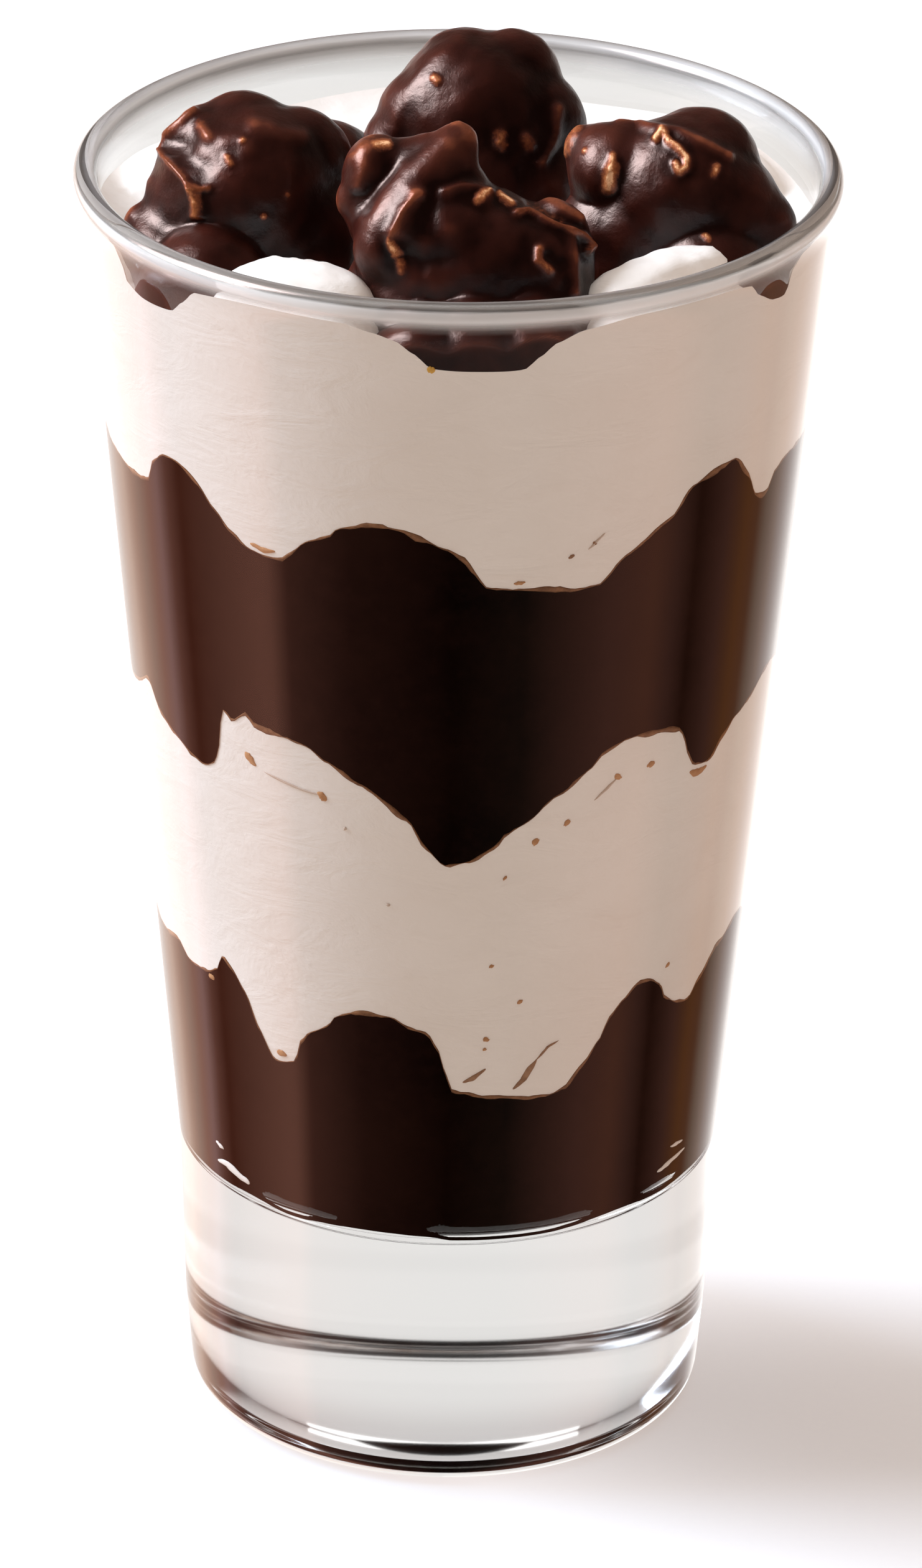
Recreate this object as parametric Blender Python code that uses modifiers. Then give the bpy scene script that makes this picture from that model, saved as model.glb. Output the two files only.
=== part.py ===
"""Layered ice cream sundae in a tall thick-based glass, topped with chocolate-coated nut clusters.

The glass is one turned body. Its filling is four layers that run right through it, dark chocolate and
cream in turn, and six nut clusters are pressed into the top cream. Frame: +Z up, the table at z = 0,
the glass's axis on the Z axis, and the side that is usually seen towards -Y.
"""

import math

import bmesh
import bpy
from mathutils import Vector

MM = 0.001
GAP = 0.3 * MM  # clearance between neighbouring solids
SEGMENTS = 72  # steps round every turned shape

# Glass
GLASS_HEIGHT = 156.2 * MM
RIM_RADIUS = 44.0 * MM
RIM_BEAD = 1.35 * MM  # radius of the rounded rim
NECK_DROP = 2.6 * MM  # the bead runs into the wall this far below the top
NECK_RADIUS = 43.1 * MM
MOUTH_RADIUS = 41.3 * MM
BASE_TOP = 31.5 * MM  # height of the inside floor
BASE_TOP_RADIUS = 31.9 * MM
FOOT_RADIUS = 30.4 * MM
FLOOR_RADIUS = 28.9 * MM
FLOOR_CORNER = 3.0 * MM
HEEL = 3.0 * MM  # rounding between the foot and the wall
RECESS_RADIUS = 23.0 * MM
RECESS_HEIGHT = 2.6 * MM

# Heights at the wall where one layer meets the next: (degrees round from the front, millimetres)
LOWER_CHOCOLATE_TOP = (
    (-172, 61), (-150, 65), (-125, 58), (-100, 64), (-79, 62.5), (-69, 63.2), (-62.5, 61.6), (-57, 61.9),
    (-53, 63.2), (-51.5, 65.2), (-48.5, 64.2), (-45, 61.8), (-42, 57.7), (-38, 54.3), (-33, 54.6),
    (-31.5, 57.4), (-29, 59.3), (-25, 60.6), (-23, 62.2), (-18, 63.2), (-12, 63.2), (-7.3, 61.9),
    (-4.3, 61.3), (-2, 59.1), (-0.6, 56.3), (1, 53.7), (10, 52.7), (21, 52), (25, 52.8), (28.5, 55.3),
    (32.5, 58.5), (34, 60.8), (37.5, 62.9), (41, 64.5), (44, 64.4), (47, 63.2), (49, 60.9), (53, 59.5),
    (57, 59.2), (60, 61), (67, 63.8), (78, 65.2), (100, 60), (125, 66), (150, 56),
)
UPPER_CHOCOLATE_BOTTOM = (
    (-175, 96), (-150, 99), (-125, 92), (-100, 97), (-84, 94), (-77, 94.8), (-70.5, 96.8), (-66, 93.9),
    (-60, 92.1), (-55, 91), (-51, 90.6), (-48.6, 91.4), (-47, 93.4), (-46.3, 96.3), (-45, 98.9),
    (-43, 98), (-39.5, 99.7), (-37.5, 98.5), (-31, 98.1), (-26.5, 97.5), (-23, 96.1), (-17, 93.9),
    (-8, 89.9), (-4.6, 86.3), (-1, 84.1), (3, 84.4), (8.4, 86.3), (10, 87.7), (13, 89), (20, 92.7),
    (25.7, 95.2), (28.5, 97.1), (34, 98.3), (39, 98.1), (45, 97.3), (46.5, 96), (47.4, 94.2), (50, 91.8),
    (54.8, 91.3), (58, 93.4), (62.5, 95.2), (78, 98), (100, 93), (125, 98), (150, 90),
)
UPPER_CHOCOLATE_TOP = (
    (-178, 125), (-155, 128), (-130, 122), (-100, 126), (-75, 124.5), (-69, 124), (-61.5, 124.5),
    (-59, 127.4), (-55.6, 129.2), (-51.8, 129.2), (-47.7, 128), (-43, 125), (-40, 122.9), (-36.5, 121.6),
    (-30, 121.3), (-28, 122.4), (-25.5, 124), (-21, 125.3), (-19.3, 126.6), (-13, 127.7), (-9, 127.3),
    (-5.4, 126.3), (-1.5, 125.1), (2, 123.7), (3.4, 122), (5.5, 120.2), (14, 119.7), (24.6, 119.2),
    (30, 122.5), (38, 125.8), (42.5, 128.9), (52, 130.4), (56, 127.6), (60, 124), (63.6, 123.5),
    (66, 125.4), (71, 126.1), (84, 125.8), (105, 122), (130, 127), (155, 121),
)
CREAM_RIM = (
    (-175, 150), (-140, 149), (-110, 150.5), (-82, 151.8), (-66, 152.4), (-61, 149), (-50, 148.5),
    (-44, 152), (-32, 152.6), (-18, 152.4), (-10, 151), (-4, 147.8), (10, 147.6), (15, 150.4), (20, 152),
    (30, 152.6), (44, 152.6), (51, 152), (57, 149), (62, 149), (67, 152.4), (80, 151.8), (100, 149.5),
    (130, 150.2), (160, 149),
)
CREAM_CENTRE = 148.0 * MM
# Spoonfuls that stand above the cream: (x, y, radius across, radius in depth, height), millimetres
DOLLOPS = (
    (-17.5, -29.8, 9.0, 6.5, 6.6),
    (23.5, -26.5, 10.5, 6.5, 6.8),
    (-31.0, 13.0, 8.0, 9.0, 3.2),
    (30.0, 17.0, 8.0, 9.0, 2.8),
)
CAP_RINGS = (0.62, 1.0)  # share of the radius of each ring of points on a hidden face
SURFACE_RINGS = (0.26, 0.46, 0.62, 0.75, 0.85, 0.93, 1.0)

# Nut clusters, millimetres: centre, and the balls whose soft union is the shape (offset, radius)
CLUSTERS = {
    "cluster_front": {
        "centre": (1.0, -26.0, 156.5),
        "balls": (
            ((0.0, 0.0, -1.0), 12.0), ((-4.8, -0.5, 3.2), 8.8), ((5.0, -1.5, -2.0), 8.8),
            ((-9.3, 0.0, 8.6), 3.4), ((-1.8, 0.5, 10.6), 3.6), ((10.4, 0.0, 1.2), 3.4),
            ((-3.4, -8.7, -5.0), 5.2), ((4.4, -8.4, -5.0), 5.2),
        ),
    },
    "cluster_left": {
        "centre": (-25.2, -9.5, 156.0),
        "balls": (
            ((0.0, 0.0, 0.0), 11.6), ((-3.0, 0.0, 5.5), 7.6), ((4.6, 1.5, 4.2), 7.4),
            ((-7.6, -1.0, -3.5), 5.0), ((6.5, -1.5, -3.0), 6.0), ((-4.0, -9.4, -5.0), 5.2),
        ),
    },
    "cluster_right": {
        "centre": (24.6, -11.6, 156.0),
        "balls": (
            ((0.0, 0.0, 0.0), 11.4), ((4.2, 1.0, 5.6), 6.9), ((-7.0, 1.5, 5.6), 5.4),
            ((7.4, -1.0, -3.2), 5.6), ((-5.0, -2.0, -3.0), 6.0), ((5.2, -6.3, -5.0), 5.2),
        ),
    },
    "cluster_back": {
        "centre": (1.6, 9.5, 157.8),
        "balls": (
            ((0.0, 0.0, 0.0), 11.6), ((-3.4, 0.0, 5.0), 7.2), ((4.2, 0.5, 5.4), 7.2),
            ((-7.4, 0.0, -1.0), 5.2), ((7.4, -1.0, -1.6), 5.4),
        ),
    },
    "cluster_rear_left": {
        "centre": (-16.2, 19.5, 146.0),
        "balls": (((0.0, 0.0, 0.0), 7.2), ((-3.0, 2.0, 1.5), 4.6), ((2.0, 3.0, 0.5), 4.6)),
    },
    "cluster_rear_right": {
        "centre": (18.6, 18.8, 146.0),
        "balls": (((0.0, 0.0, 0.0), 7.2), ((3.0, 2.0, 1.2), 4.6), ((-2.0, 3.0, 1.0), 4.6)),
    },
}
CLUSTER_BLEND = 1.1 * MM  # how softly the balls run together
CLUSTER_STEPS = 18
DENT = 0.45 * MM  # clearance of the hollow that a cluster presses into the cream

# Colour, roughness, metallic, transmission
FINISHES = {
    "clear_glass": ((0.96, 0.97, 0.97, 1.0), 0.02, 0.0, 1.0),
    "chocolate": ((0.05, 0.018, 0.010, 1.0), 0.3, 0.0, 0.0),
    "cream": ((0.86, 0.80, 0.74, 1.0), 0.45, 0.0, 0.0),
    "coated_nuts": ((0.06, 0.022, 0.013, 1.0), 0.25, 0.0, 0.0),
}


def clear_scene():
    for item in list(bpy.data.objects):
        bpy.data.objects.remove(item, do_unlink=True)


def new_collection(name):
    group = bpy.data.collections.new(name)
    bpy.context.scene.collection.children.link(group)
    return group


def finish(name):
    colour, roughness, metallic, transmission = FINISHES[name]
    material = bpy.data.materials.new(name)
    material.use_nodes = True
    shader = material.node_tree.nodes["Principled BSDF"]
    shader.inputs["Base Color"].default_value = colour
    shader.inputs["Roughness"].default_value = roughness
    shader.inputs["Metallic"].default_value = metallic
    shader.inputs["Transmission Weight"].default_value = transmission
    return material


def mesh_object(name, bm, group, material=None):
    mesh = bpy.data.meshes.new(name)
    bm.to_mesh(mesh)
    bm.free()
    if material:
        mesh.materials.append(material)
    mesh.shade_smooth()
    item = bpy.data.objects.new(name, mesh)
    group.objects.link(item)
    return item


def arc(centre_r, centre_z, radius, start, end, steps):
    """Points of a round corner in the profile's plane, angles in degrees from +X."""
    points = []
    for i in range(steps + 1):
        angle = math.radians(start + (end - start) * i / steps)
        points.append((centre_r + radius * math.cos(angle), centre_z + radius * math.sin(angle)))
    return points


def inner_radius(z):
    """Radius of the glass's inside wall at height z, with its rounded floor corner."""
    slope = (MOUTH_RADIUS - FLOOR_RADIUS) / (GLASS_HEIGHT - BASE_TOP)
    wall = FLOOR_RADIUS + slope * (z - BASE_TOP)
    rise = BASE_TOP + FLOOR_CORNER - z
    if rise > 0:
        wall -= FLOOR_CORNER - math.sqrt(max(FLOOR_CORNER**2 - rise**2, 0.0))
    return wall


def glass_profile():
    """From the middle of the inside floor up the wall, over the rim and down to the recess."""
    corner_radius = FLOOR_RADIUS - FLOOR_CORNER
    bead_z = GLASS_HEIGHT - RIM_BEAD
    points = [(0.0, BASE_TOP)]
    points += arc(corner_radius, BASE_TOP + FLOOR_CORNER, FLOOR_CORNER, -90, 0, 3)
    points[-1] = (inner_radius(BASE_TOP + FLOOR_CORNER), BASE_TOP + FLOOR_CORNER)
    points += arc(RIM_RADIUS - RIM_BEAD, bead_z, RIM_BEAD, 180, -25, 6)
    points.append((NECK_RADIUS, GLASS_HEIGHT - NECK_DROP - 0.6 * MM))
    points.append((BASE_TOP_RADIUS, BASE_TOP - 0.9 * MM))
    points += arc(FOOT_RADIUS + 0.1 * MM - HEEL, HEEL, HEEL, -3, -90, 3)
    points.append((RECESS_RADIUS, 0.0))
    for share in (0.7, 0.0):
        points.append((RECESS_RADIUS * share, RECESS_HEIGHT * (1 - share**2)))
    return points


def make_glass(group, material):
    bm = bmesh.new()
    verts = [bm.verts.new((r, 0.0, z)) for r, z in glass_profile()]
    for a, b in zip(verts, verts[1:]):
        bm.edges.new((a, b))
    glass = mesh_object("glass", bm, group, material)
    screw = glass.modifiers.new("turned", "SCREW")
    screw.axis = "Z"
    screw.angle = 2 * math.pi
    screw.steps = SEGMENTS
    screw.render_steps = SEGMENTS
    screw.use_merge_vertices = True
    screw.merge_threshold = 0.00001
    return glass


def height_round(pairs, angle):
    """Height at an angle round the glass, on a smooth closed curve through the pairs, in metres."""
    count = len(pairs)
    after = next((i for i, pair in enumerate(pairs) if pair[0] > angle), count)
    picked = []
    for i in range(after - 2, after + 2):
        turn, place = divmod(i, count)
        picked.append((pairs[place][0] + 360.0 * turn, pairs[place][1]))
    (a0, z0), (a1, z1), (a2, z2), (a3, z3) = picked
    span = a2 - a1
    t = (angle - a1) / span
    slope1 = 0.5 * span * (z2 - z0) / (a2 - a0)
    slope2 = 0.5 * span * (z3 - z1) / (a3 - a1)
    height = (
        z1 * (2 * t**3 - 3 * t**2 + 1)
        + slope1 * (t**3 - 2 * t**2 + t)
        + z2 * (3 * t**2 - 2 * t**3)
        + slope2 * (t**3 - t**2)
    )
    return height * MM


def boundary(pairs):
    """The face between two layers: wavy at the wall, level at the axis."""
    centre = sum(z for _, z in pairs) / len(pairs) * MM

    def height(x, y, share):
        angle = math.degrees(math.atan2(x, -y))
        return centre + (height_round(pairs, angle) - centre) * share**2

    return height


def floor_height(x, y, share):
    return BASE_TOP


def cream_height(x, y, share):
    """The top of the cream: its line at the wall, and the spoonfuls that stand above it."""
    angle = math.degrees(math.atan2(x, -y))
    height = CREAM_CENTRE + (height_round(CREAM_RIM, angle) - CREAM_CENTRE) * share**4
    radius = share * inner_radius(CREAM_CENTRE)
    length = math.hypot(x, y) or 1.0
    px, py = x / length * radius / MM, y / length * radius / MM
    for dx, dy, across, deep, rise in DOLLOPS:
        spread = ((px - dx) / across) ** 2 + ((py - dy) / deep) ** 2
        height += rise * MM * math.exp(-1.1 * spread) * min(1.0, (1.0 - share) * 9)
    return height


def layer(name, bottom, top, group, material, top_rings=CAP_RINGS, stops=(0.0,)):
    """One filling layer. A ringed unit drum is spun first, and then each of its points takes its
    height from the two faces and its radius from the glass. stops are heights above the bottom
    face at which the side has a ring."""
    levels = len(stops)
    outline = [(0.0, levels)] + [(share, levels) for share in top_rings]
    outline += [(1.0, level) for level in range(levels - 1, -1, -1)]
    outline += [(share, 0) for share in reversed(CAP_RINGS[:-1])] + [(0.0, 0)]
    bm = bmesh.new()
    verts = [bm.verts.new((share, 0.0, level)) for share, level in outline]
    edges = [bm.edges.new((a, b)) for a, b in zip(verts, verts[1:])]
    bmesh.ops.spin(
        bm, geom=verts + edges, axis=(0, 0, 1), cent=(0, 0, 0), angle=2 * math.pi,
        steps=SEGMENTS, use_merge=True,
    )
    bmesh.ops.remove_doubles(bm, verts=bm.verts, dist=0.0001)
    bmesh.ops.recalc_face_normals(bm, faces=bm.faces)
    for vert in bm.verts:
        x, y, level = vert.co
        share = math.hypot(x, y)
        if round(level) == levels:
            z = top(x, y, share)
        else:
            z = bottom(x, y, share) + GAP + stops[round(level)]
        wall = inner_radius(z) - GAP
        vert.co = (x * wall, y * wall, z)
    # Both faces of a boundary split their quads along the same, shorter diagonals
    bmesh.ops.triangulate(bm, faces=bm.faces, quad_method="SHORT_EDGE")
    return mesh_object(name, bm, group, material)


def cluster_mesh(settings, extra=0.0):
    """A ball whose points move out to the soft union of the settings' balls, plus extra."""
    centre = Vector(settings["centre"]) * MM
    bm = bmesh.new()
    bmesh.ops.create_uvsphere(bm, u_segments=CLUSTER_STEPS, v_segments=CLUSTER_STEPS // 2 + 2, radius=1.0)
    for vert in bm.verts:
        direction = vert.co.normalized()
        reaches = []
        for offset, radius in settings["balls"]:
            offset = Vector(offset) * MM
            along = offset.dot(direction)
            left = (radius * MM) ** 2 - offset.length_squared + along**2
            if left > 0:
                reaches.append(along + math.sqrt(left))
        total = sum(math.exp(reach / CLUSTER_BLEND) for reach in reaches)
        vert.co = centre + direction * (CLUSTER_BLEND * math.log(total) + extra)
    return bm


def make_clusters(group, cutters, material):
    hollows = []
    for name, settings in CLUSTERS.items():
        mesh_object(name, cluster_mesh(settings), group, material)
        hollow = mesh_object(name + "_hollow", cluster_mesh(settings, DENT), cutters)
        hollow.hide_render = True
        hollow.display_type = "WIRE"
        hollows.append(hollow)
    return hollows


def main():
    clear_scene()
    group = new_collection("ice_cream_sundae")
    cutters = new_collection("cutters")
    materials = {name: finish(name) for name in FINISHES}
    chocolate, cream = materials["chocolate"], materials["cream"]
    make_glass(group, materials["clear_glass"])
    first, second, third = (
        boundary(pairs)
        for pairs in (LOWER_CHOCOLATE_TOP, UPPER_CHOCOLATE_BOTTOM, UPPER_CHOCOLATE_TOP)
    )
    corner_stops = (0.0, 0.8 * MM, FLOOR_CORNER)
    layer("chocolate_layer_lower", floor_height, first, group, chocolate, stops=corner_stops)
    layer("cream_layer_lower", first, second, group, cream)
    layer("chocolate_layer_upper", second, third, group, chocolate)
    top_cream = layer("cream_layer_upper", third, cream_height, group, cream, SURFACE_RINGS)
    for hollow in make_clusters(group, cutters, materials["coated_nuts"]):
        cut = top_cream.modifiers.new(hollow.name, "BOOLEAN")
        cut.operation = "DIFFERENCE"
        cut.object = hollow


main()
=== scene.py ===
import math
import random

import bmesh
import bpy
import numpy as np
from mathutils import Matrix, Vector, noise


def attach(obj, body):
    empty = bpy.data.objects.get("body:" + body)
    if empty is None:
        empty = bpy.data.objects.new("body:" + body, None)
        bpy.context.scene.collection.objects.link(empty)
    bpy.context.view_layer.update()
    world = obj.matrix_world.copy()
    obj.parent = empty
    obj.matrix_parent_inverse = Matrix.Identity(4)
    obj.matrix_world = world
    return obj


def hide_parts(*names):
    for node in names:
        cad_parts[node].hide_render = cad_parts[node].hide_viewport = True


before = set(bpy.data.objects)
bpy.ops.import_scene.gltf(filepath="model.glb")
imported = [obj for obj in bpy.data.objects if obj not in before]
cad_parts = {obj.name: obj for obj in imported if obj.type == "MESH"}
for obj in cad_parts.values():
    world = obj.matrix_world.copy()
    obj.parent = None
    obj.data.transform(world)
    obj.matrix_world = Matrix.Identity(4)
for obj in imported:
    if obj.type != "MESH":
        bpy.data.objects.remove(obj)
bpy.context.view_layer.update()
mm = 0.001
scene = bpy.context.scene
print("frame loaded")


# Camera: a long lens, looking down over the rim

cameraSettings = {
    "place": (0.0, -0.95297, 0.52866),
    "pitch": 25.33,  # degrees down
    "yaw": -0.07,
    "roll": 0.74,
    "lens": 205.4,
    "sensor": 36.0,
}


def makeCamera(settings):
    data = bpy.data.cameras.new("studio_camera")
    data.lens = settings["lens"]
    data.sensor_width = settings["sensor"]
    data.clip_start = 0.05
    data.clip_end = 100.0
    camera = bpy.data.objects.new("studio_camera", data)
    scene.collection.objects.link(camera)
    turn = Matrix.Rotation(math.radians(settings["yaw"]), 4, "Z")
    turn = turn @ Matrix.Rotation(math.radians(90.0 - settings["pitch"]), 4, "X")
    turn = turn @ Matrix.Rotation(math.radians(settings["roll"]), 4, "Z")
    camera.matrix_world = Matrix.Translation(settings["place"]) @ turn
    scene.camera = camera


makeCamera(cameraSettings)
tilt = math.radians(cameraSettings["pitch"])
viewRight = Vector((1.0, 0.0, 0.0))
viewUp = Vector((0.0, math.sin(tilt), math.cos(tilt)))
viewNear = Vector((0.0, -math.cos(tilt), math.sin(tilt)))


# Node trees

class Wire:  # a socket that takes part in sums
    def __init__(self, tree, socket):
        self.tree = tree
        self.socket = socket

    def sum(self, operation, *others, clamp=False, flip=False):
        node = self.tree.nodes.new("ShaderNodeMath")
        node.operation = operation
        node.use_clamp = clamp
        terms = [self, *others]
        if flip:
            terms.reverse()
        for place, term in enumerate(terms):
            if isinstance(term, Wire):
                self.tree.links.new(term.socket, node.inputs[place])
            else:
                node.inputs[place].default_value = term
        return Wire(self.tree, node.outputs[0])

    def __add__(self, other):
        return self.sum("ADD", other)

    def __sub__(self, other):
        return self.sum("SUBTRACT", other)

    def __rsub__(self, other):
        return self.sum("SUBTRACT", other, flip=True)

    def __mul__(self, other):
        return self.sum("MULTIPLY", other)

    __radd__ = __add__
    __rmul__ = __mul__

    def clamped(self):
        return self.sum("ADD", 0.0, clamp=True)


class Tree:
    def __init__(self, tree):
        self.tree = tree
        tree.nodes.clear()

    def add(self, kind, settings=None, values=None, out=0):
        node = self.tree.nodes.new("ShaderNode" + kind)
        for name, value in (settings or {}).items():
            if name == "stops":
                ramp = node.color_ramp.elements
                while len(ramp) < len(value):
                    ramp.new(0.5)
                for stop, (place, shade) in zip(ramp, value):
                    stop.position = place
                    stop.color = (*shade, 1.0)
            else:
                setattr(node, name, value)
        for name, value in (values or {}).items():
            if isinstance(value, Wire):
                self.tree.links.new(value.socket, node.inputs[name])
            else:
                node.inputs[name].default_value = value
        return Wire(self.tree, node.outputs[out]) if node.outputs else node

    def rise(self, value, low, high):  # 0 below low, 1 above high
        limits = {"Value": value, "From Min": low, "From Max": high, "To Min": 0.0, "To Max": 1.0}
        return self.add("MapRange", {"interpolation_type": "SMOOTHSTEP", "clamp": True}, limits)

    def blend(self, fac, under, over):  # of two colours
        values = {0: fac, 6: under, 7: over}
        return self.add("Mix", {"data_type": "RGBA", "clamp_result": False}, values, out=2)

    def noise(self, place, scale, detail=2.0, rough=0.5, warp=0.0):
        return self.add("TexNoise", {}, {
            "Vector": place, "Scale": scale, "Detail": detail, "Roughness": rough, "Distortion": warp,
        })

    def stretched(self, place, scale, turn=(0.0, 0.0, 0.0)):
        return self.add("Mapping", {}, {"Vector": place, "Scale": scale, "Rotation": turn})

    def bump(self, height, strength, depth, normal=None):
        values = {"Height": height, "Strength": strength, "Distance": depth * mm}
        if normal:
            values["Normal"] = normal
        return self.add("Bump", {}, values)


class Finish(Tree):  # a material
    def __init__(self, name):
        self.material = bpy.data.materials.new(name)
        self.material.use_nodes = True
        super().__init__(self.material.node_tree)
        self.place = self.add("TexCoord", out="Object")

    def close(self, shader):
        self.add("OutputMaterial", {}, {"Surface": shader})
        return self.material


def rgba(red, green, blue):
    return (red, green, blue, 1.0)


# Studio: white surroundings, one soft key from the left and back, a pale floor

studioSettings = {
    "keyAzimuth": -103.0,  # degrees round from the front, right is plus
    "keyHeight": 34.0,
    "keyStrength": 4.0,
    "keyAngle": 32.0,
    "keyColour": (0.92, 1.07, 1.26),
    "topStrength": 7.6,
    "topPlace": (0.0, 0.1, 1.4),
    "topSize": 1.2,
    "background": rgba(1.0, 1.0, 1.0),
    "fillBack": rgba(0.62, 0.54, 0.51),
    "domeFront": rgba(0.02, 0.015, 0.013),
    "domeBack": rgba(0.17, 0.12, 0.10),
    "softbox": rgba(50.0, 41.0, 40.0),
    "throughLow": rgba(0.90, 0.885, 0.87),  # what the clear glass shows
    "throughHigh": rgba(0.75, 0.72, 0.71),
    "throughAhead": rgba(0.06, 0.05, 0.05),
    "floorSize": 30.0,
    "floorDrop": 0.02,
    "floorColour": rgba(0.93, 0.90, 0.89),
    "floorGrain": rgba(0.95, 0.92, 0.90),
    "floorBounce": rgba(0.75, 0.68, 0.62),
}
lowReflections = (  # all round: 0 is the back, 0.25 the left, 0.5 the front
    (0.000, (1.0, 0.92, 0.88)),
    (0.047, (1.4, 1.2, 1.1)),
    (0.089, (1.9, 1.35, 1.1)),
    (0.112, (1.75, 1.1, 0.85)),
    (0.130, (1.6, 1.0, 0.78)),
    (0.150, (1.6, 0.8, 0.6)),
    (0.167, (1.6, 0.85, 0.75)),
    (0.185, (0.9, 0.35, 0.25)),
    (0.205, (0.5, 0.13, 0.07)),
    (0.240, (0.9, 0.33, 0.22)),
    (0.300, (1.75, 0.72, 0.5)),
    (0.312, (1.75, 0.72, 0.5)),
    (0.333, (0.66, 0.245, 0.17)),
    (0.400, (0.2, 0.07, 0.05)),
    (0.500, (0.0, 0.0, 0.0)),
    (0.570, (0.06, 0.045, 0.035)),
    (0.660, (0.7, 0.28, 0.2)),
    (0.705, (0.85, 0.32, 0.2)),
    (0.730, (0.5, 0.2, 0.14)),
    (0.755, (0.15, 0.05, 0.03)),
    (0.794, (0.4, 0.16, 0.11)),
    (0.825, (0.6, 0.22, 0.08)),
    (0.845, (0.5, 0.2, 0.1)),
    (0.862, (0.7, 0.45, 0.33)),
    (0.885, (0.95, 0.68, 0.56)),
    (0.908, (1.15, 0.95, 0.88)),
    (0.953, (1.7, 1.6, 1.55)),
    (1.000, (1.2, 1.15, 1.1)),
)
fillFront = (  # from the middle to the right
    (0.00, (0.26, 0.215, 0.19)),
    (0.15, (0.24, 0.185, 0.155)),
    (0.45, (0.62, 0.53, 0.47)),
    (0.72, (0.62, 0.52, 0.46)),
    (0.95, (0.06, 0.01, 0.0)),
)


def makeWorld(settings):
    world = bpy.data.worlds.new("studio")
    scene.world = world
    world.use_nodes = True
    world.cycles.sampling_method = "NONE"  # each kind of ray then sees its own surroundings only
    sky = Tree(world.node_tree)
    direction = sky.add("TexCoord", out="Generated")
    x, y, z = (sky.add("SeparateXYZ", {}, {0: direction}, out=axis) for axis in "XYZ")
    azimuth = x.sum("ARCTAN2", y * -1.0) * (0.5 / math.pi) + 0.5
    low = sky.add("ValToRGB", {"stops": lowReflections}, {"Fac": azimuth})
    dome = sky.blend(sky.rise(y, -0.2, 0.7), settings["domeFront"], settings["domeBack"])
    box = sky.rise(azimuth, 0.165, 0.235) * (1.0 - sky.rise(azimuth, 0.265, 0.335))
    box = box * sky.rise(z, 0.20, 0.50) * (1.0 - sky.rise(z, 0.70, 0.94))
    dome = sky.blend(box, dome, settings["softbox"])
    glossy = sky.blend(sky.rise(z, -0.12, 0.02), low, dome)
    fill = sky.add("ValToRGB", {"stops": fillFront}, {"Fac": x})
    fill = sky.blend(sky.rise(y, 0.0, 0.5), fill, settings["fillBack"])
    through = sky.blend(sky.rise(z, 0.47, 0.75), settings["throughLow"], settings["throughHigh"])
    ahead = sky.rise(y * -1.0, 0.1, 0.45) * sky.rise(z, -0.78, -0.65) * (1.0 - sky.rise(z, -0.5, -0.35))
    through = sky.blend(ahead, through, settings["throughAhead"])  # gives the base its dark bands
    shade = sky.blend(sky.add("LightPath", out="Is Glossy Ray"), fill, glossy)
    shade = sky.blend(sky.add("LightPath", out="Is Transmission Ray"), shade, through)
    shade = sky.blend(sky.add("LightPath", out="Is Camera Ray"), shade, settings["background"])
    lamp = sky.add("Background", {}, {"Color": shade, "Strength": 1.0})
    sky.add("OutputWorld", {}, {"Surface": lamp})


def addLight(name, data):
    light = bpy.data.objects.new(name, data)
    light.visible_glossy = False
    scene.collection.objects.link(light)
    return light


def makeLights(settings):
    data = bpy.data.lights.new("key", "SUN")
    data.energy = settings["keyStrength"]
    data.angle = math.radians(settings["keyAngle"])
    data.color = settings["keyColour"]
    azimuth, height = math.radians(settings["keyAzimuth"]), math.radians(settings["keyHeight"])
    toKey = Vector((math.sin(azimuth) * math.cos(height), -math.cos(azimuth) * math.cos(height),
                    math.sin(height)))
    addLight("key", data).rotation_euler = toKey.to_track_quat("Z", "Y").to_euler()
    data = bpy.data.lights.new("top_box", "AREA")
    data.energy = settings["topStrength"]
    data.size = settings["topSize"]
    addLight("top_box", data).location = settings["topPlace"]


def makeFloor(settings):
    bm = bmesh.new()
    bmesh.ops.create_grid(bm, x_segments=8, y_segments=8, size=settings["floorSize"])
    bmesh.ops.translate(bm, verts=bm.verts, vec=(0.0, 0.0, -settings["floorDrop"] * mm))
    mesh = bpy.data.meshes.new("floor")
    bm.to_mesh(mesh)
    bm.free()
    floor = bpy.data.objects.new("floor", mesh)
    scene.collection.objects.link(floor)
    floor.visible_glossy = False
    floor.visible_transmission = False
    paint = Finish("floor_paint")
    grain = paint.noise(paint.place, 900.0, 3.0)
    shade = paint.blend(grain, settings["floorColour"], settings["floorGrain"])
    bounced = paint.add("LightPath", out="Is Diffuse Ray")
    shade = paint.blend(bounced, shade, settings["floorBounce"])  # less light thrown back up
    mesh.materials.append(paint.close(paint.add("BsdfDiffuse", {}, {"Color": shade})))


makeWorld(studioSettings)
makeLights(studioSettings)
makeFloor(studioSettings)
scene.view_settings.view_transform = "Standard"
scene.view_settings.look = "None"
print("studio ready")


# Finishes

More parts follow.
